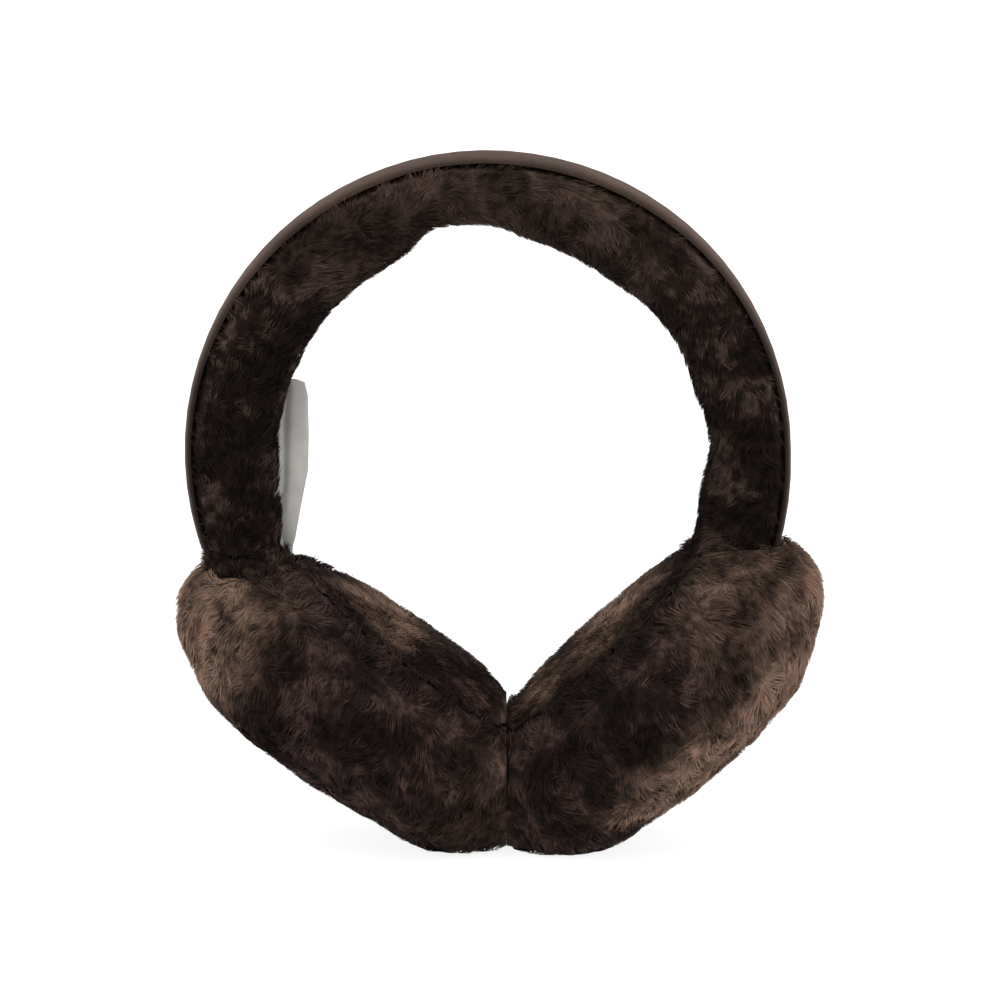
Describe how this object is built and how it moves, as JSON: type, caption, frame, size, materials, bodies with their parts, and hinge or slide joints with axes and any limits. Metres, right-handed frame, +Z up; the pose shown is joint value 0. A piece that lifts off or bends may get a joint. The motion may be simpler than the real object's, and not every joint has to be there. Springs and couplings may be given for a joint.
{
  "type": "fur earmuffs",
  "caption": "Fur earmuffs with a suede-skinned headband lined in deep pile, round padded ear pads that press together when unworn, and a blank care label.",
  "frame": {"origin": "middle of the base, on the surface that the flattened pads stand on", "axes": "+X runs from ear to ear, +Y to the back and +Z up to the crown of the headband; the front faces -Y"},
  "size_m": [0.1654, 0.102, 0.1766],
  "materials": {
    "suede": "napped tan-brown suede",
    "dark_pile": "deep dark brown shearling pile",
    "tipped_pile": "dark brown shearling pile with faded tan tips",
    "satin": "grey satin ribbon, blank"
  },
  "bodies": {
    "root": {"headband_suede": "suede", "headband_pile": "dark_pile", "care_label": "satin", "cuff_left": "dark_pile", "cuff_right": "dark_pile", "ear_pad_outer_left": "tipped_pile", "ear_pad_outer_right": "tipped_pile", "ear_pad_inner_left": "dark_pile", "ear_pad_inner_right": "dark_pile"}
  },
  "joints": []
}
